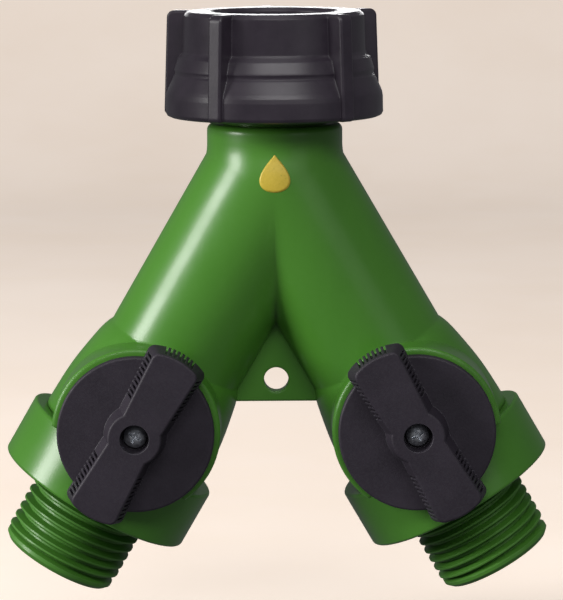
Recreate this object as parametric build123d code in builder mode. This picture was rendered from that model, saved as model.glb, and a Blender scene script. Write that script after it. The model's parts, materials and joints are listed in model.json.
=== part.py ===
from build123d import *
import math
import os

os.makedirs("parts", exist_ok=True)

# Millimetres. +Z runs up the inlet axis, -Y is the side with the knobs, X to the right.
# Origin: middle of the swivel nut's mouth, on its top plane.

# ---------------------------------------------------------------- driving dimensions
arm_angle = 30.0          # each arm from the inlet axis
split_z = -37.3           # where the three axes meet
valve_s = 61.1            # ball centre along an arm, from the split point

# body
neck_r = 15.0
shoulder_z = -24.7
shoulder_fillet = 1.5
arm_r = 16.1
crotch_r = 16.16         # ball at the split point, between neck and arms
housing_end_s = 68.8
boss_r = 18.4
boss_h = 22.4             # boss face in front of the arm axis
socket_spigot_r = 17.0
socket_spigot_s = 76.0
inlet_bore_r = 8.5
arm_bore_r = 9.0
chamber_r = 14.0
chamber_s = 50.1
inlet_spigot_r = 11.4
inlet_spigot_z = -15.6
web_t = 3.4
web_bottom = 49.8         # below the split point
hang_hole_r = 2.75
hang_hole_drop = 44.9

# garden hose thread, 11.5 turns to the inch
pitch = 25.4 / 11.5
male_major_r = 13.5
male_core_r = 11.72
male_nose_r = 13.2
female_major_r = 13.65
female_minor_r = 12.35

# swivel nut
nut_h = 23.1
nut_rib_w = 3.3
nut_flange_r = 11.5       # hole in the bottom flange, runs on the spigot
nut_flange_top = -19.5
nut_relief_r = 13.9
nut_relief_top = -12.4

# retaining ring and washer
ring_top, ring_t = -18.0, 1.2
ring_in_r, ring_out_r = 10.55, 13.3
ring_groove_r = 10.5
washer_r, washer_in_r, washer_t = 12.9, 8.7, 3.0

# outlet fitting
collar_r = 22.45
collar_start = 68.9
collar_end = 82.4
outlet_end = 99.6
plug_end = 72.2
outlet_bore_r = 8.5
plug_r = 13.9

# ball, seats, stem
ball_r = 12.0
ball_bore_r = 7.0
seat_gap_r = 12.3         # seat face, concentric with the ball
seat_in_r = 7.5
seat_from, seat_to = 7.0, 11.0
stem_r = 4.0
stem_bore_r = 4.05
stem_flange_r = 6.0
stem_square = 5.6

# knob
knob_back_h = 22.8
disc_t = 2.4
disc_r = 17.1
bar_top_h = 30.6
bar_half_len = 19.7
bar_end_hw = 5.35         # half widths of the top face
bar_mid_hw = 4.75
hub_top_r = 5.8
bar_flare = 1.5           # each side wall stands this much further out at its foot
bar_end_flare = 0.9
recess_r = 3.15
recess_floor_h = 25.6
skirt_r = 6.2


def arm_plane(lean):
    a = math.radians(lean)
    return Plane(
        origin=(0, 0, split_z),
        x_dir=(-math.cos(a), 0, -math.sin(a)),
        z_dir=(math.sin(a), 0, -math.cos(a)),
    )


def valve_plane(lean):
    a = math.radians(lean)
    return Plane(
        origin=(valve_s * math.sin(a), 0, split_z - valve_s * math.cos(a)),
        x_dir=(math.sin(a), 0, -math.cos(a)),
        z_dir=(0, -1, 0),
    )


SIDES = {"left": -arm_angle, "right": arm_angle}
ARM = {side: arm_plane(lean) for side, lean in SIDES.items()}
VALVE = {side: valve_plane(lean) for side, lean in SIDES.items()}


def place(shape, planes, name):
    """A copy of a locally drawn piece on each side, written under its own name."""
    for side, plane in planes.items():
        with BuildPart() as placed:
            with Locations(plane):
                add(shape)
        placed.part.label = f"{name}_{side}"
        export_step(placed.part, f"parts/{name}_{side}.step")


# ================================================================ body
# One arm, drawn with its axis on local Z from the split point.
with BuildPart() as arm_solid:
    with BuildSketch(Plane.XZ) as arm_profile:
        with BuildLine():
            Line((0, 0), (arm_r, 0))
            Line((arm_r, 0), (arm_r, 45.0))
            Spline(
                (arm_r, 45.0),
                (17.95, 51.0),
                (19.05, 57.6),
                (19.6, 66.8),
                tangents=((0.6, 1.0), (0.03, 1.0)),
            )
            Line((19.6, 66.8), (19.6, housing_end_s))
            Line((19.6, housing_end_s), (socket_spigot_r, housing_end_s))
            Line((socket_spigot_r, housing_end_s), (socket_spigot_r, socket_spigot_s - 0.6))
            Line((socket_spigot_r, socket_spigot_s - 0.6), (socket_spigot_r - 0.6, socket_spigot_s))
            Line((socket_spigot_r - 0.6, socket_spigot_s), (0, socket_spigot_s))
            Line((0, socket_spigot_s), (0, 0))
        make_face()
    revolve(axis=Axis.Z)
    # the boss under the knob, cut off flat where the collar begins
    with BuildSketch(Plane.XZ.offset(0)) as boss_outline:
        with Locations((0, valve_s)):
            Circle(boss_r)
        with Locations((0, housing_end_s + 15)):
            Rectangle(60, 30, mode=Mode.SUBTRACT)
    extrude(amount=boss_h)
    rim = arm_solid.faces().filter_by(Axis.Y).sort_by(Axis.Y)[0].edges().filter_by(GeomType.CIRCLE)
    fillet(rim, 0.7)

with BuildPart() as body:
    # neck running out into a ball just proud of both arms
    neck_meet = math.sqrt(crotch_r**2 - neck_r**2)
    with BuildSketch(Plane.XZ) as neck_profile:
        with BuildLine():
            Polyline(
                (0, split_z),
                (0, shoulder_z),
                (neck_r, shoulder_z),
                (neck_r, split_z + neck_meet),
            )
            ThreePointArc(
                (neck_r, split_z + neck_meet),
                (math.sqrt(crotch_r**2 - (neck_meet / 2) ** 2), split_z + neck_meet / 2),
                (crotch_r, split_z),
            )
            ThreePointArc(
                (crotch_r, split_z),
                (crotch_r * math.sqrt(0.5), split_z - crotch_r * math.sqrt(0.5)),
                (0, split_z - crotch_r),
            )
            Line((0, split_z - crotch_r), (0, split_z))
        make_face()
        fillet(
            neck_profile.vertices().filter_by(
                lambda v: abs(v.X - neck_r) < 0.01 and abs(v.Y - split_z - neck_meet) < 0.01
            ),
            14,
        )
        fillet(
            neck_profile.vertices().filter_by(
                lambda v: abs(v.X - neck_r) < 0.01 and abs(v.Y - shoulder_z) < 0.01
            ),
            shoulder_fillet,
        )
    revolve(axis=Axis.Z)
    with Locations(ARM["left"], ARM["right"]):
        add(arm_solid.part)
    # web with the hanging hole
    with BuildSketch(Plane.XZ.offset(-web_t / 2)):
        with BuildLine():
            Polyline(
                (0, split_z - 26),
                (10.6, split_z - web_bottom),
                (-10.6, split_z - web_bottom),
                close=True,
            )
        make_face()
    extrude(amount=web_t)
    # inlet spigot with the ring groove
    with BuildSketch(Plane.XY.offset(inlet_spigot_z)):
        Circle(inlet_spigot_r)
    extrude(amount=-(inlet_spigot_z - shoulder_z + 1))
    chamfer(body.faces().sort_by(Axis.Z)[-1].edges(), 0.5)
    with BuildSketch(Plane.XY.offset(ring_top + 0.05)):
        Circle(inlet_spigot_r + 2)
        Circle(ring_groove_r, mode=Mode.SUBTRACT)
    extrude(amount=-(ring_t + 0.1), mode=Mode.SUBTRACT)
    # water ways
    with BuildSketch(Plane.XY.offset(inlet_spigot_z)):
        Circle(inlet_bore_r)
    extrude(amount=-(inlet_spigot_z - split_z), mode=Mode.SUBTRACT)
    with Locations((0, 0, split_z)):
        Sphere(arm_bore_r, mode=Mode.SUBTRACT)
    for plane in ARM.values():
        with BuildSketch(plane):
            Circle(arm_bore_r)
        extrude(amount=chamber_s + 1, mode=Mode.SUBTRACT)
        with BuildSketch(plane.offset(chamber_s)):
            Circle(chamber_r)
        extrude(amount=socket_spigot_s - chamber_s + 1, mode=Mode.SUBTRACT)
    for plane in VALVE.values():
        # stem flange pocket, stem bore, knob skirt well
        with BuildSketch(plane.offset(8)):
            Circle(stem_flange_r + 0.4)
        extrude(amount=15.0 - 8, mode=Mode.SUBTRACT)
        with BuildSketch(plane.offset(12)):
            Circle(stem_bore_r)
        extrude(amount=12, mode=Mode.SUBTRACT)
        with BuildSketch(plane.offset(18.2)):
            Circle(skirt_r + 0.4)
        extrude(amount=6, mode=Mode.SUBTRACT)
        # groove for the travel stop
        with BuildSketch(plane.offset(20.2)):
            with BuildLine():
                CenterArc((0, 0), 9.7, 180 - 53.1, 106.2)
                CenterArc((0, 0), 12.9, 180 - 53.1, 106.2)
                for edge_angle in (180 - 53.1, 180 + 53.1):
                    c, s = math.cos(math.radians(edge_angle)), math.sin(math.radians(edge_angle))
                    Line((9.7 * c, 9.7 * s), (12.9 * c, 12.9 * s))
            make_face()
        extrude(amount=4, mode=Mode.SUBTRACT)
    with BuildSketch(Plane.XZ.offset(-10)):
        with Locations((0, split_z - hang_hole_drop)):
            Circle(hang_hole_r)
    extrude(amount=20, mode=Mode.SUBTRACT)
body.part.label = "body"
export_step(body.part, "parts/body.step")

# ================================================================ swivel nut
with BuildPart() as rib:
    with BuildSketch(Plane.XZ):
        with BuildLine():
            Polyline(
                (16.5, 0.0),
                (24.15, 0.0),
                (25.0, -nut_h),
                (16.5, -nut_h),
                close=True,
            )
        make_face()
        fillet(vertices().sort_by(Axis.Y)[-2:].sort_by(Axis.X)[-1:], 1.6)
        fillet(vertices().sort_by(Axis.X)[-1:], 1.0)
    extrude(amount=nut_rib_w / 2, both=True)
    side_edges = rib.faces().filter_by(Axis.Y).edges().filter_by(lambda e: e.center().X > 17.5)
    fillet(side_edges, 0.55)

with BuildPart() as swivel_nut:
    with BuildSketch(Plane.XZ):
        with BuildLine():
            Polyline(
                (0, 0),
                (19.1, 0),
                (19.95, -0.9),
                (20.2, -8.8),
                (20.5, -9.4),
                (21.25, -10.1),
                (22.0, -12.4),
                (22.1, -12.8),
                (21.95, -13.2),
                (21.95, -13.75),
                (22.25, -14.15),
                (23.55, -17.0),
                (23.85, -17.8),
                (24.0, -18.8),
                (24.05, -22.2),
                (23.75, -22.8),
                (23.1, -nut_h),
                (0, -nut_h),
                close=True,
            )
        make_face()
    revolve(axis=Axis.Z)
    with PolarLocations(0, 5, start_angle=-90 - 31.7):
        add(rib.part)
    # threaded mouth, relief for washer and ring, hole of the bottom flange
    with BuildSketch(Plane.XY):
        Circle(female_major_r)
    extrude(amount=nut_relief_top - 0.5, mode=Mode.SUBTRACT)
    with BuildSketch(Plane.XY.offset(nut_relief_top)):
        Circle(nut_relief_r)
    extrude(amount=nut_flange_top - nut_relief_top, mode=Mode.SUBTRACT)
    with BuildSketch(Plane.XY):
        Circle(nut_flange_r)
    extrude(amount=-nut_h - 1, mode=Mode.SUBTRACT)
    chamfer(
        swivel_nut.edges().filter_by(GeomType.CIRCLE).filter_by(lambda e: abs(e.radius - female_major_r) < 0.01).sort_by(Axis.Z)[-1:],
        0.7,
    )
    # female thread
    with BuildLine():
        turn = Helix(pitch, 8.9, female_major_r, center=(0, 0, nut_relief_top + 1.4))
    with BuildSketch(Plane(origin=turn @ 0, x_dir=(1, 0, 0), z_dir=turn % 0)):
        with BuildLine():
            Polyline(
                (female_minor_r - female_major_r, -0.28),
                (female_minor_r - female_major_r, 0.28),
                (0.3, 0.92),
                (0.3, -0.92),
                close=True,
            )
        make_face()
    sweep(path=turn, is_frenet=True)
swivel_nut.part.label = "swivel_nut"
export_step(swivel_nut.part, "parts/swivel_nut.step")

# ================================================================ retaining ring and washer
with BuildPart() as retaining_ring:
    with BuildSketch(Plane.XY.offset(ring_top)):
        Circle(ring_out_r)
        Circle(ring_in_r, mode=Mode.SUBTRACT)
        with Locations((0, ring_out_r)):
            Rectangle(4.2, 8, mode=Mode.SUBTRACT)
    extrude(amount=-ring_t)
    fillet(retaining_ring.edges().filter_by(Axis.Z), 0.4)
retaining_ring.part.label = "retaining_ring"
export_step(retaining_ring.part, "parts/retaining_ring.step")

with BuildPart() as inlet_washer:
    with BuildSketch(Plane.XY.offset(inlet_spigot_z)):
        Circle(washer_r)
        Circle(washer_in_r, mode=Mode.SUBTRACT)
    extrude(amount=washer_t)
    fillet(inlet_washer.edges(), 0.25)
inlet_washer.part.label = "inlet_washer"
export_step(inlet_washer.part, "parts/inlet_washer.step")

# ================================================================ outlet fitting, local Z along the arm
with BuildPart() as outlet_fitting:
    with BuildSketch(Plane.XZ):
        with BuildLine():
            Polyline(
                (outlet_bore_r, plug_end),
                (plug_r - 0.4, plug_end),
                (plug_r, plug_end + 0.4),
                (plug_r, 73.3),
                (12.05, 73.3),
                (12.05, 75.1),
                (plug_r, 75.1),
                (plug_r, 76.2),
                (socket_spigot_r + 0.1, 76.2),
                (socket_spigot_r + 0.1, collar_start),
                (collar_r, collar_start),
                (collar_r, collar_end),
                (male_core_r, collar_end),
                (male_core_r, 97.1),
                (male_nose_r, 97.9),
                (male_nose_r, outlet_end - 0.9),
                (male_nose_r - 0.9, outlet_end),
                (outlet_bore_r, outlet_end),
                close=True,
            )
        make_face()
    revolve(axis=Axis.Z)
    outer = outlet_fitting.edges().filter_by(GeomType.CIRCLE).filter_by(lambda e: abs(e.radius - collar_r) < 0.01)
    fillet(outer, 0.65)
    with BuildLine():
        turn = Helix(pitch, 15.9, male_core_r, center=(0, 0, 81.2))
    with BuildSketch(Plane(origin=turn @ 0, x_dir=(1, 0, 0), z_dir=turn % 0)):
        with BuildLine():
            Polyline(
                (male_major_r - male_core_r, -0.21),
                (male_major_r - male_core_r, 0.21),
                (-0.25, 0.97),
                (-0.25, -0.97),
                close=True,
            )
        make_face()
    sweep(path=turn, is_frenet=True)
place(outlet_fitting.part, ARM, "outlet_fitting")

with BuildPart() as fitting_o_ring:
    with BuildSketch(Plane.XZ):
        with Locations((12.95, 74.2)):
            Circle(0.85)
    revolve(axis=Axis.Z)
place(fitting_o_ring.part, ARM, "fitting_o_ring")

# ================================================================ seats, local Z along the arm
for seat_name, sign in (("inlet_seat", -1), ("outlet_seat", 1)):
    with BuildPart() as seat:
        with BuildSketch(Plane.XZ):
            face_r0 = math.sqrt(seat_gap_r**2 - seat_from**2)
            face_h1 = math.sqrt(seat_gap_r**2 - seat_in_r**2)
            mid_h = (seat_from + face_h1) / 2
            mid_r = math.sqrt(seat_gap_r**2 - mid_h**2)
            with BuildLine():
                Line((plug_r, valve_s + sign * seat_from), (face_r0, valve_s + sign * seat_from))
                ThreePointArc(
                    (face_r0, valve_s + sign * seat_from),
                    (mid_r, valve_s + sign * mid_h),
                    (seat_in_r, valve_s + sign * face_h1),
                )
                Line((seat_in_r, valve_s + sign * face_h1), (seat_in_r, valve_s + sign * seat_to))
                Line((seat_in_r, valve_s + sign * seat_to), (plug_r, valve_s + sign * seat_to))
                Line((plug_r, valve_s + sign * seat_to), (plug_r, valve_s + sign * seat_from))
            make_face()
        revolve(axis=Axis.Z)
    place(seat.part, ARM, seat_name)

# ================================================================ ball, local Z towards the knob, X along the arm
with BuildPart() as ball:
    Sphere(ball_r)
    with BuildSketch(Plane.YZ.offset(-15)):
        Circle(ball_bore_r)
    extrude(amount=30, mode=Mode.SUBTRACT)
    with BuildSketch(Plane.XY.offset(9.3)):
        Rectangle(4.1, 30)
    extrude(amount=6, mode=Mode.SUBTRACT)
place(ball.part, VALVE, "ball")

# ================================================================ stem
with BuildPart() as stem:
    with BuildSketch(Plane.XY.offset(9.4)):
        RectangleRounded(4.0, 9.0, 0.4)
    extrude(amount=12.4 - 9.4 + 0.5)
    with BuildSketch(Plane.XZ):
        with BuildLine():
            Polyline(
                (0, 12.4),
                (stem_flange_r, 12.4),
                (stem_flange_r, 14.7),
                (stem_r, 14.7),
                (stem_r, 15.9),
                (2.85, 15.9),
                (2.85, 17.3),
                (stem_r, 17.3),
                (stem_r, 18.3),
                (0, 18.3),
                close=True,
            )
        make_face()
    revolve(axis=Axis.Z)
    with BuildSketch(Plane.XY.offset(18.3)):
        RectangleRounded(stem_square, stem_square, 0.5)
    extrude(amount=23.7 - 18.3)
    chamfer(stem.faces().sort_by(Axis.Z)[-1].edges(), 0.3)
    with BuildSketch(Plane.XY.offset(15.4)):
        Circle(1.5)
    extrude(amount=10, mode=Mode.SUBTRACT)
place(stem.part, VALVE, "stem")

with BuildPart() as stem_o_ring:
    with BuildSketch(Plane.XZ):
        with Locations((3.33, 16.6)):
            Circle(0.45)
    revolve(axis=Axis.Z)
place(stem_o_ring.part, VALVE, "stem_o_ring")

# ================================================================ knob
disc_top = knob_back_h + disc_t
bar_h = bar_top_h - (disc_top - 0.8)
with BuildPart() as bar:
    # side walls lean outwards towards the foot
    for end in (1, -1):
        with BuildSketch(Plane.XY.offset(bar_top_h)):
            with BuildLine():
                Polyline(
                    (0, bar_mid_hw - 0.35),
                    (end * 25, bar_end_hw + 0.4),
                    (end * 25, -bar_end_hw - 0.4),
                    (0, -bar_mid_hw + 0.35),
                    close=True,
                )
            make_face()
        with BuildSketch(Plane.XY.offset(bar_top_h - bar_h)):
            with BuildLine():
                Polyline(
                    (0, bar_mid_hw - 0.35 + bar_flare),
                    (end * 25, bar_end_hw + 0.4 + bar_flare),
                    (end * 25, -bar_end_hw - 0.4 - bar_flare),
                    (0, -bar_mid_hw + 0.35 - bar_flare),
                    close=True,
                )
            make_face()
        loft()
    with Locations((0, 0, bar_top_h - bar_h / 2)):
        Cone(hub_top_r + bar_flare * 0.8, hub_top_r, bar_h)
    # bowed ends, leaning out a little towards the foot
    with BuildSketch(Plane.XY.offset(bar_top_h - bar_h)):
        SlotCenterToCenter(2 * bar_half_len - 2 * 13.6, 2 * (13.6 + bar_end_flare))
    extrude(amount=bar_h, taper=math.degrees(math.atan(bar_end_flare / bar_h)), mode=Mode.INTERSECT)
    corner_edges = bar.edges().filter_by(
        lambda e: abs(e.center().X) > 17 and abs(e.center().Z - (bar_top_h - bar_h / 2)) < 1 and e.length > bar_h * 0.8
    )
    fillet(corner_edges, 1.8)
    fillet(bar.faces().sort_by(Axis.Z)[-1].edges(), 0.5)

with BuildPart() as knob:
    with BuildSketch(Plane.XY.offset(knob_back_h)):
        Circle(disc_r)
    extrude(amount=disc_t)
    fillet(knob.edges(), 0.5)
    add(bar.part)
    # grip notches down the side walls and the ends
    for sx in (1, -1):
        for sy in (1, -1):
            for i in range(10):
                u = 7.5 + 1.08 * i
                wall = bar_mid_hw - 0.35 + (bar_end_hw - bar_mid_hw + 0.75) * u / 25
                with BuildSketch(Plane.XY.offset(disc_top)):
                    with Locations((sx * u, sy * (wall + 0.12 + 3))):
                        Rectangle(0.6, 6)
                extrude(amount=bar_h, mode=Mode.SUBTRACT)
    for sx in (1, -1):
        for i in range(-3, 4):
            a = 4.4 * i + (0 if sx > 0 else 180)
            cx, cy = sx * (bar_half_len - 13.6), 0
            with BuildSketch(Plane.XY.offset(bar_top_h - bar_h)):
                with Locations(
                    Location(
                        (
                            cx + 14.75 * math.cos(math.radians(a)),
                            cy + 14.75 * math.sin(math.radians(a)),
                        ),
                        a,
                    )
                ):
                    Rectangle(2.4, 0.5)
            extrude(amount=bar_h - 0.9, mode=Mode.SUBTRACT)
    # skirt with the square socket
    with BuildSketch(Plane.XY.offset(18.5)):
        Circle(skirt_r)
    extrude(amount=knob_back_h - 18.5 + 0.5)
    with BuildSketch(Plane.XY.offset(18.5)):
        RectangleRounded(stem_square + 0.1, stem_square + 0.1, 0.5)
    extrude(amount=23.9 - 18.5, mode=Mode.SUBTRACT)
    with BuildSketch(Plane.XY.offset(recess_floor_h)):
        Circle(recess_r)
    extrude(amount=bar_top_h - recess_floor_h + 1, mode=Mode.SUBTRACT)
    with BuildSketch(Plane.XY.offset(22)):
        Circle(1.65)
    extrude(amount=5, mode=Mode.SUBTRACT)
    # travel stop lug
    with BuildSketch(Plane.XY.offset(20.5)):
        with BuildLine():
            CenterArc((0, 0), 10.0, 225 - 7.1, 14.2)
            CenterArc((0, 0), 12.6, 225 - 7.1, 14.2)
            for edge_angle in (225 - 7.1, 225 + 7.1):
                c, s = math.cos(math.radians(edge_angle)), math.sin(math.radians(edge_angle))
                Line((10.0 * c, 10.0 * s), (12.6 * c, 12.6 * s))
        make_face()
    extrude(amount=knob_back_h - 20.5 + 0.5)
place(knob.part, VALVE, "knob")

# ================================================================ knob screw
with BuildPart() as knob_screw:
    with BuildSketch(Plane.XZ):
        with BuildLine():
            Line((0, 16.0), (0.7, 16.0))
            Line((0.7, 16.0), (1.4, 17.2))
            Line((1.4, 17.2), (1.4, recess_floor_h))
            Line((1.4, recess_floor_h), (2.5, recess_floor_h))
            Line((2.5, recess_floor_h), (2.5, recess_floor_h + 0.8))
            ThreePointArc((2.5, recess_floor_h + 0.8), (1.5, recess_floor_h + 1.4), (0, recess_floor_h + 1.65))
            Line((0, recess_floor_h + 1.65), (0, 16.0))
        make_face()
    revolve(axis=Axis.Z)
    with BuildSketch(Plane.XY.offset(recess_floor_h + 0.3)):
        Rectangle(2.9, 0.62)
        Rectangle(0.62, 2.9)
        Circle(0.6)
    extrude(amount=3, mode=Mode.SUBTRACT)
place(knob_screw.part, VALVE, "knob_screw")
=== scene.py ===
import json
import math

import bmesh
import bpy
from mathutils import Matrix, Vector
from mathutils.bvhtree import BVHTree


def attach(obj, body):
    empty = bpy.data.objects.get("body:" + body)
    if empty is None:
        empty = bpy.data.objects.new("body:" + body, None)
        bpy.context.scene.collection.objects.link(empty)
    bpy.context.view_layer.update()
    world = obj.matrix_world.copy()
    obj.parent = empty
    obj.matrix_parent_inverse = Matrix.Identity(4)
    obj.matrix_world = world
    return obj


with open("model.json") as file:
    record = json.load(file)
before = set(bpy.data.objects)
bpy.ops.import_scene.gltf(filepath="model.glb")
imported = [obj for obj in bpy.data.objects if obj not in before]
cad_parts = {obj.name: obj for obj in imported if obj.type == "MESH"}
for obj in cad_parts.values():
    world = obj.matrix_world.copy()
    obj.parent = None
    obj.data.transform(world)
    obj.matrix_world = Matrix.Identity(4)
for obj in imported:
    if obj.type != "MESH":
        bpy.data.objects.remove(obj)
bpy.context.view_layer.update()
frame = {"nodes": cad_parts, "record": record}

nodes = frame["nodes"]
MM = 0.001


# ------------------------------------------------------------------ node helpers
class Mat:
    """A small helper that builds one procedural material in the object's own coordinates."""

    def __init__(self, name):
        self.m = bpy.data.materials.new(name)
        self.m.use_nodes = True
        self.t = self.m.node_tree
        self.t.nodes.clear()
        self.out = self.t.nodes.new("ShaderNodeOutputMaterial")
        self.bsdf = self.t.nodes.new("ShaderNodeBsdfPrincipled")
        self.t.links.new(self.bsdf.outputs[0], self.out.inputs["Surface"])
        self.co = self.t.nodes.new("ShaderNodeTexCoord").outputs["Object"]

    def set(self, **values):
        for k, v in values.items():
            self.bsdf.inputs[k.replace("_", " ")].default_value = v

    def plug(self, socket, into):
        self.t.links.new(socket, into)

    def noise(self, scale, detail=3.0, rough=0.5, co=None, distort=0.0):
        n = self.t.nodes.new("ShaderNodeTexNoise")
        n.inputs["Scale"].default_value = scale
        n.inputs["Detail"].default_value = detail
        n.inputs["Roughness"].default_value = rough
        n.inputs["Distortion"].default_value = distort
        self.plug(co or self.co, n.inputs["Vector"])
        return n.outputs["Fac"]

    def voronoi(self, scale, co=None, feature="F1"):
        n = self.t.nodes.new("ShaderNodeTexVoronoi")
        n.feature = feature
        n.inputs["Scale"].default_value = scale
        self.plug(co or self.co, n.inputs["Vector"])
        return n.outputs["Distance"]

    def stretch(self, x, y, z, rot=(0, 0, 0)):
        n = self.t.nodes.new("ShaderNodeMapping")
        n.inputs["Scale"].default_value = (x, y, z)
        n.inputs["Rotation"].default_value = rot
        self.plug(self.co, n.inputs["Vector"])
        return n.outputs["Vector"]

    def ramp(self, fac, stops):
        n = self.t.nodes.new("ShaderNodeValToRGB")
        while len(n.color_ramp.elements) < len(stops):
            n.color_ramp.elements.new(0.5)
        for e, (pos, col) in zip(n.color_ramp.elements, stops):
            e.position = pos
            e.color = (*col, 1.0) if len(col) == 3 else col
        self.plug(fac, n.inputs["Fac"])
        return n.outputs["Color"]

    def remap(self, fac, lo, hi, out_lo, out_hi):
        n = self.t.nodes.new("ShaderNodeMapRange")
        n.inputs["From Min"].default_value = lo
        n.inputs["From Max"].default_value = hi
        n.inputs["To Min"].default_value = out_lo
        n.inputs["To Max"].default_value = out_hi
        self.plug(fac, n.inputs["Value"])
        return n.outputs["Result"]

    def math(self, op, a, b=None, clamp=False):
        n = self.t.nodes.new("ShaderNodeMath")
        n.operation = op
        n.use_clamp = clamp
        for i, v in enumerate((a, b)):
            if v is None:
                continue
            if isinstance(v, (int, float)):
                n.inputs[i].default_value = v
            else:
                self.plug(v, n.inputs[i])
        return n.outputs[0]

    def mix(self, fac, a, b):
        n = self.t.nodes.new("ShaderNodeMix")
        n.data_type = "RGBA"
        if isinstance(fac, (int, float)):
            n.inputs[0].default_value = fac
        else:
            self.plug(fac, n.inputs[0])
        for v, sock in ((a, n.inputs[6]), (b, n.inputs[7])):
            if isinstance(v, tuple):
                sock.default_value = (*v, 1.0)
            else:
                self.plug(v, sock)
        return n.outputs[2]

    def axis(self, which, co=None):
        n = self.t.nodes.new("ShaderNodeSeparateXYZ")
        self.plug(co or self.co, n.inputs[0])
        return n.outputs[which]

    def edges(self, radius, gain=3.0):
        """1 along sharp edges, 0 on open surface."""
        b = self.t.nodes.new("ShaderNodeBevel")
        b.samples = 6
        b.inputs["Radius"].default_value = radius
        g = self.t.nodes.new("ShaderNodeNewGeometry")
        d = self.t.nodes.new("ShaderNodeVectorMath")
        d.operation = "DOT_PRODUCT"
        self.plug(b.outputs[0], d.inputs[0])
        self.plug(g.outputs["Normal"], d.inputs[1])
        return self.math("MULTIPLY", self.math("SUBTRACT", 1.0, d.outputs["Value"], True), gain, True)

    def bump(self, layers, bevel=0.0):
        """layers: (height socket, strength, distance in metres). Chained, last one outermost."""
        normal = None
        if bevel:
            b = self.t.nodes.new("ShaderNodeBevel")
            b.samples = 6
            if isinstance(bevel, float):
                b.inputs["Radius"].default_value = bevel
            else:
                self.plug(bevel, b.inputs["Radius"])
            normal = b.outputs[0]
        for height, strength, distance in layers:
            n = self.t.nodes.new("ShaderNodeBump")
            n.inputs["Strength"].default_value = strength
            n.inputs["Distance"].default_value = distance
            self.plug(height, n.inputs["Height"])
            if normal is not None:
                self.plug(normal, n.inputs["Normal"])
            normal = n.outputs[0]
        self.plug(normal, self.bsdf.inputs["Normal"])

    def color(self, socket):
        self.plug(socket, self.bsdf.inputs["Base Color"])

    def rough(self, socket):
        self.plug(socket, self.bsdf.inputs["Roughness"])


# ------------------------------------------------------------------ materials
def green_plastic(name="green moulded plastic", edge=0.0010):
    """Moulded, satin gloss, faint flow marks, orange peel and a parting line."""
    k = Mat(name)
    k.set(IOR=1.49, Coat_Weight=0.10, Coat_Roughness=0.16, Specular_IOR_Level=0.35)
    flow = k.noise(26.0, 4.0, 0.55, k.stretch(1.0, 1.0, 0.35), 0.6)
    fine = k.noise(900.0, 3.0, 0.6)
    body = k.ramp(flow, [(0.30, (0.048, 0.166, 0.0175)), (0.55, (0.058, 0.192, 0.0210)), (0.78, (0.070, 0.216, 0.0265))])
    body = k.mix(k.remap(fine, 0.35, 0.75, 0.0, 0.14), body, (0.075, 0.215, 0.036))
    scuff = k.noise(140.0, 6.0, 0.72, k.stretch(1.0, 1.0, 0.12, (0.3, 0.9, 0.2)), 1.5)
    scuffed = k.remap(scuff, 0.62, 0.78, 0.0, 1.0)
    worn = k.math("MULTIPLY", k.edges(0.0007, 2.4), k.remap(k.noise(240.0, 4.0, 0.7), 0.38, 0.62, 0.15, 1.0), True)
    col = k.mix(k.math("MULTIPLY", worn, 0.30), body, (0.16, 0.34, 0.10))
    col = k.mix(k.math("MULTIPLY", scuffed, 0.12), col, (0.14, 0.30, 0.09))
    k.color(col)
    r = k.remap(k.noise(70.0, 5.0, 0.6), 0.3, 0.7, 0.28, 0.36)
    r = k.math("ADD", r, k.math("MULTIPLY", scuffed, 0.10))
    # the male threads, past the collars along each arm, are duller than the smooth walls
    along = k.math("SUBTRACT", k.math("MULTIPLY", k.math("ABSOLUTE", k.axis(0)), 0.5), k.math("MULTIPLY", k.axis(2), 0.8660254))
    r = k.math("ADD", r, k.remap(along, 0.1146, 0.1154, 0.0, 0.20))
    k.rough(k.math("ADD", r, k.math("MULTIPLY", worn, 0.10), True))
    y = k.math("ABSOLUTE", k.axis(1))
    seam = k.remap(y, 0.00007, 0.00022, 1.0, 0.0)
    # the valley between the arms has a soft root, other edges are tight
    valley = k.math("MULTIPLY", k.remap(k.math("ABSOLUTE", k.axis(0)), 0.004, 0.009, 1.0, 0.0), k.remap(k.axis(2), -0.074, -0.068, 0.0, 1.0))
    valley = k.math("MULTIPLY", valley, k.remap(k.axis(2), -0.034, -0.030, 1.0, 0.0))
    soft = k.math("ADD", k.math("MULTIPLY", valley, 0.0034), edge)
    k.bump(
        [
            (seam, 0.55, 0.00008),
            (k.noise(95.0, 2.0, 0.5), 0.22, 0.00035),
            (k.noise(620.0, 2.0, 0.5), 0.16, 0.00006),
            (scuff, 0.05, 0.00005),
        ],
        bevel=soft,
    )
    return k.m


def nut_plastic():
    """Dark satin plastic of the swivel nut, with shine on its steps."""
    k = Mat("dark satin plastic")
    k.set(IOR=1.50, Coat_Weight=0.08, Coat_Roughness=0.30, Specular_IOR_Level=0.5)
    mottle = k.noise(180.0, 5.0, 0.65)
    col = k.ramp(mottle, [(0.3, (0.0240, 0.0175, 0.0275)), (0.7, (0.0365, 0.0275, 0.0400))])
    worn = k.math("MULTIPLY", k.edges(0.0005, 2.6), k.remap(k.noise(320.0, 4.0, 0.7), 0.35, 0.65, 0.1, 1.0), True)
    k.color(k.mix(k.math("MULTIPLY", worn, 0.45), col, (0.085, 0.08, 0.095)))
    r = k.remap(k.noise(60.0, 5.0, 0.6), 0.3, 0.7, 0.33, 0.43)
    k.rough(k.math("ADD", r, k.math("MULTIPLY", worn, 0.08), True))
    k.bump(
        [
            (k.noise(110.0, 2.0, 0.5), 0.22, 0.0003),
            (k.noise(1500.0, 3.0, 0.6), 0.30, 0.00005),
        ],
        bevel=0.00045,
    )
    return k.m


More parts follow.
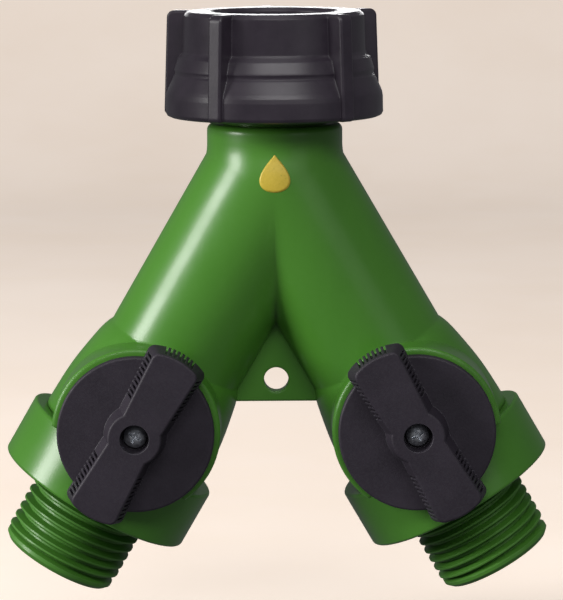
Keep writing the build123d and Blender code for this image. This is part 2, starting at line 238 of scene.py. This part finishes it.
def knob_plastic():
    """Fine spark eroded grain, matt."""
    k = Mat("grained dark plastic")
    k.set(IOR=1.50, Specular_IOR_Level=0.34)
    cloud = k.noise(120.0, 4.0, 0.6)
    grain = k.noise(2600.0, 2.0, 0.6)
    col = k.ramp(cloud, [(0.3, (0.0165, 0.0125, 0.0195)), (0.7, (0.0250, 0.0195, 0.0290))])
    col = k.mix(k.remap(grain, 0.45, 0.75, 0.0, 0.35), col, (0.032, 0.029, 0.037))
    worn = k.math("MULTIPLY", k.edges(0.00045, 2.6), k.remap(k.noise(420.0, 4.0, 0.7), 0.3, 0.6, 0.2, 1.0), True)
    k.color(k.mix(k.math("MULTIPLY", worn, 0.5), col, (0.10, 0.098, 0.115)))
    r = k.remap(grain, 0.3, 0.7, 0.50, 0.62)
    k.rough(k.math("SUBTRACT", r, k.math("MULTIPLY", worn, 0.12), True))
    k.bump(
        [
            (k.noise(160.0, 2.0, 0.5), 0.12, 0.0002),
            (grain, 0.42, 0.00005),
        ],
        bevel=0.0003,
    )
    return k.m


def rubber(name, base, lift):
    k = Mat(name)
    k.set(IOR=1.52, Specular_IOR_Level=0.4)
    dust = k.noise(260.0, 5.0, 0.7)
    k.color(k.ramp(dust, [(0.35, base), (0.8, lift)]))
    k.rough(k.remap(k.noise(900.0, 3.0, 0.6), 0.3, 0.7, 0.62, 0.8))
    k.bump([(k.noise(1800.0, 3.0, 0.6), 0.35, 0.00005)], bevel=0.0002)
    return k.m


def seat_plastic():
    k = Mat("waxy white seat")
    k.set(IOR=1.36, Subsurface_Weight=0.15, Subsurface_Scale=0.002)
    k.color(k.ramp(k.noise(200.0, 4.0, 0.6), [(0.3, (0.70, 0.69, 0.66)), (0.7, (0.80, 0.79, 0.76))]))
    k.rough(k.remap(k.noise(500.0, 3.0, 0.6), 0.3, 0.7, 0.40, 0.52))
    turned = k.noise(700.0, 2.0, 0.5, k.stretch(0.2, 1.0, 1.0))
    k.bump([(turned, 0.15, 0.00005)], bevel=0.0003)
    return k.m


def ball_plastic():
    k = Mat("polished ball plastic")
    k.set(IOR=1.48, Coat_Weight=0.3, Coat_Roughness=0.1)
    k.color(k.ramp(k.noise(90.0, 4.0, 0.6), [(0.3, (0.66, 0.655, 0.63)), (0.7, (0.74, 0.735, 0.71))]))
    k.rough(k.remap(k.noise(300.0, 4.0, 0.6), 0.3, 0.7, 0.16, 0.26))
    k.bump([(k.noise(240.0, 3.0, 0.5), 0.08, 0.0001)], bevel=0.0003)
    return k.m


def stem_plastic():
    k = Mat("black acetal")
    k.set(IOR=1.48, Specular_IOR_Level=0.5)
    k.color(k.ramp(k.noise(220.0, 4.0, 0.6), [(0.3, (0.012, 0.012, 0.013)), (0.7, (0.022, 0.022, 0.024))]))
    k.rough(k.remap(k.noise(600.0, 3.0, 0.6), 0.3, 0.7, 0.32, 0.44))
    k.bump([(k.noise(900.0, 2.0, 0.5), 0.15, 0.00004)], bevel=0.0002)
    return k.m


def steel(name, tint, stretch, rough_lo, rough_hi, metal=1.0):
    k = Mat(name)
    k.set(Metallic=metal)
    lines = k.noise(1400.0, 4.0, 0.65, k.stretch(*stretch))
    blot = k.noise(300.0, 4.0, 0.6)
    a = tuple(c * 0.72 for c in tint)
    k.color(k.mix(k.remap(blot, 0.3, 0.7, 0.0, 1.0), a, tint))
    k.rough(k.remap(lines, 0.3, 0.7, rough_lo, rough_hi))
    k.bump([(lines, 0.22, 0.00003)], bevel=0.00015)
    return k.m


def print_ink():
    """Pad printed ink: thin, slightly uneven, with pin holes towards its edge."""
    k = Mat("pad printed ink")
    k.set(IOR=1.5, Specular_IOR_Level=0.4)
    n = k.noise(1500.0, 4.0, 0.7)
    k.color(k.ramp(n, [(0.26, (0.20, 0.25, 0.03)), (0.36, (0.50, 0.37, 0.035)), (0.75, (0.58, 0.43, 0.055))]))
    k.rough(k.remap(k.noise(700.0, 3.0, 0.6), 0.3, 0.7, 0.38, 0.5))
    k.bump([(n, 0.25, 0.00003)])
    return k.m


def floor_paint():
    k = Mat("pale floor")
    k.set(Specular_IOR_Level=0.2)
    tone = k.ramp(k.noise(6.0, 5.0, 0.6), [(0.3, (0.83, 0.71, 0.61)), (0.7, (0.88, 0.77, 0.68))])
    k.color(tone)
    k.plug(tone, k.bsdf.inputs["Emission Color"])
    k.set(Emission_Strength=0.50)
    k.rough(k.remap(k.noise(40.0, 4.0, 0.6), 0.3, 0.7, 0.75, 0.9))
    k.bump([(k.noise(260.0, 3.0, 0.6), 0.05, 0.0002)])
    return k.m


GREEN = green_plastic()
GREEN_CRISP = green_plastic("green moulded plastic, crisp edges", 0.00022)
NUT = nut_plastic()
KNOB = knob_plastic()
SEAL = rubber("seal rubber", (0.010, 0.010, 0.011), (0.030, 0.030, 0.032))
WASHER = rubber("washer rubber", (0.016, 0.016, 0.017), (0.050, 0.049, 0.048))
SEAT = seat_plastic()
BALL = ball_plastic()
STEM = stem_plastic()
SPRING = steel("drawn spring steel", (0.60, 0.59, 0.57), (0.05, 0.05, 1.0), 0.22, 0.42)
SCREW = steel("zinc plated steel", (0.74, 0.77, 0.82), (1.0, 0.1, 1.0), 0.34, 0.60)

FINISH = {
    "green_plastic": GREEN,
    "black_nut_plastic": NUT,
    "knob_plastic": KNOB,
    "spring_steel": SPRING,
    "washer_rubber": WASHER,
    "seal_rubber": SEAL,
    "seat_plastic": SEAT,
    "ball_plastic": BALL,
    "stem_plastic": STEM,
    "screw_steel": SCREW,
}
slot_of = {p["node"]: p["material_slot"] for p in frame["record"]["subparts"]}
for name, o in nodes.items():
    mat = FINISH[slot_of[name]]
    if name.startswith("outlet_fitting"):
        mat = GREEN_CRISP
    if not o.material_slots:
        o.data.materials.append(mat)
    for s in o.material_slots:
        s.material = mat


# ------------------------------------------------------------------ printed mark: a plain water drop
def drop_outline(height, count=64):
    """A water drop standing on its round end, point up, centred on the origin."""
    pts = []
    for i in range(count):
        a = 2 * math.pi * i / count
        x = math.sin(a) * math.sin(a / 2) ** 1.25
        z = math.cos(a)
        pts.append((x * 0.56 * height, z * 0.5 * height))
    return pts


def on_front(tree, x, z, lift):
    hit, normal, _, _ = tree.ray_cast(Vector((x, -0.06, z)), Vector((0, 1, 0)))
    if hit is None:
        return None
    return hit + Vector((0, -1, 0)) * lift


def printed_mark():
    deps = bpy.context.evaluated_depsgraph_get()
    tree = BVHTree.FromObject(nodes["body"], deps)
    bm = bmesh.new()
    cz = -0.0345
    outline = drop_outline(0.0082)
    rings = 8
    layers = []
    for r in range(1, rings + 1):
        layers.append([bm.verts.new(on_front(tree, x * r / rings, cz + z * r / rings, 0.00004)) for x, z in outline])
    centre = bm.verts.new(on_front(tree, 0, cz, 0.00004))
    n = len(outline)
    for i in range(n):
        j = (i + 1) % n
        bm.faces.new((centre, layers[0][i], layers[0][j]))
        for a, b in zip(layers, layers[1:]):
            bm.faces.new((a[i], b[i], b[j], a[j]))
    bmesh.ops.recalc_face_normals(bm, faces=bm.faces)
    if sum(f.normal.y for f in bm.faces) > 0:
        bmesh.ops.reverse_faces(bm, faces=bm.faces)
    me = bpy.data.meshes.new("printed_drop")
    bm.to_mesh(me)
    bm.free()
    for p in me.polygons:
        p.use_smooth = True
    o = bpy.data.objects.new("printed_drop", me)
    bpy.context.scene.collection.objects.link(o)
    sol = o.modifiers.new("thickness", "SOLIDIFY")
    sol.thickness = 0.00006
    sol.offset = -1.0
    o.data.materials.append(print_ink())
    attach(o, "splitter_body")
    return o


printed_mark()

# ------------------------------------------------------------------ stage
def sweep_floor(z, half=2.4):
    """Floor that curves up into a backdrop behind the object."""
    bm = bmesh.new()
    prof = [(-half, z)]
    r = 0.5
    back = 0.9
    for i in range(17):
        a = math.radians(90 * i / 16)
        prof.append((back + r * math.sin(a), z + r - r * math.cos(a)))
    prof.append((back + r, z + 3.0))
    rows = []
    for y, zz in prof:
        rows.append([bm.verts.new((x, y, zz)) for x in (-half, half)])
    for a, b in zip(rows, rows[1:]):
        bm.faces.new((a[0], a[1], b[1], b[0]))
    me = bpy.data.meshes.new("floor")
    bm.to_mesh(me)
    bm.free()
    for p in me.polygons:
        p.use_smooth = True
    o = bpy.data.objects.new("floor", me)
    bpy.context.scene.collection.objects.link(o)
    o.data.materials.append(floor_paint())
    o.visible_diffuse = False
    o.visible_glossy = False
    return o


sweep_floor(-0.150)


def area(name, direction, distance, size, watts, colour=(1, 1, 1), target=(0, 0, -0.065), size_y=None):
    light = bpy.data.lights.new(name, "AREA")
    light.shape = "RECTANGLE"
    light.size = size
    light.size_y = size_y or size
    light.energy = watts
    light.color = colour
    o = bpy.data.objects.new(name, light)
    bpy.context.scene.collection.objects.link(o)
    d = Vector(direction).normalized()
    o.location = Vector(target) + d * distance
    o.rotation_euler = d.to_track_quat("Z", "Y").to_euler()
    return o


def only(light, name, include):
    """Light linking: the light reaches only this node, or everything but it."""
    group = bpy.data.collections.new(light.name + " receivers")
    group.objects.link(nodes[name])
    group.collection_objects[0].light_linking.link_state = "INCLUDE" if include else "EXCLUDE"
    light.light_linking.receiver_collection = group


key = area("key", (-0.90, -0.34, 0.30), 1.0, 0.33, 11.0, (1.0, 0.99, 0.97), size_y=0.42)
only(key, "swivel_nut", False)
key_nut = area("key on the nut", (-0.90, -0.34, 0.30), 1.0, 0.26, 3.6, (1.0, 0.99, 0.97), size_y=0.42)
only(key_nut, "swivel_nut", True)
area("front", (0.05, -0.80, 0.60), 1.1, 1.00, 5.8, (1.0, 0.99, 0.99), size_y=0.26)
area("fill", (0.62, -0.74, 0.28), 1.0, 0.50, 0.40, (0.98, 0.99, 1.0), size_y=0.50)
area("top", (0.02, -0.15, 1.0), 0.8, 0.45, 0.6)
rim = area("rim", (0.0, 1.0, 0.14), 1.1, 0.60, 3.0, target=(0, 0, 0.0), size_y=0.16)
only(rim, "swivel_nut", True)
rim.visible_camera = False

world = bpy.data.worlds.new("studio")
bpy.context.scene.world = world
world.use_nodes = True
world.node_tree.nodes["Background"].inputs[0].default_value = (0.95, 0.96, 1.0, 1.0)
world.node_tree.nodes["Background"].inputs[1].default_value = 0.15

# ------------------------------------------------------------------ camera
TARGET = Vector((0.00129, 0.0, -0.06450))
DIST = 0.680
ELEV = math.radians(8.33)
AZ = 0.0
ROLL = math.radians(-0.35)
back = Vector((math.sin(AZ) * math.cos(ELEV), -math.cos(AZ) * math.cos(ELEV), math.sin(ELEV)))
right = Vector((0, 0, 1)).cross(back).normalized()
up = back.cross(right)
rot = Matrix((right, up, back)).transposed().to_4x4() @ Matrix.Rotation(ROLL, 4, "Z")
cam_data = bpy.data.cameras.new("camera")
cam = bpy.data.objects.new("camera", cam_data)
bpy.context.scene.collection.objects.link(cam)
cam.matrix_world = Matrix.Translation(TARGET + back * DIST) @ rot
cam_data.sensor_fit = "VERTICAL"
cam_data.sensor_height = 24.0
cam_data.lens = 24.0 * 3042.0 / 600.0
cam_data.clip_start = 0.01
cam_data.clip_end = 20.0
cam_data.dof.use_dof = False
bpy.context.scene.camera = cam

scene = bpy.context.scene
scene.view_settings.view_transform = "Standard"
scene.view_settings.look = "None"
scene.view_settings.exposure = 0.0
scene.view_settings.gamma = 1.0
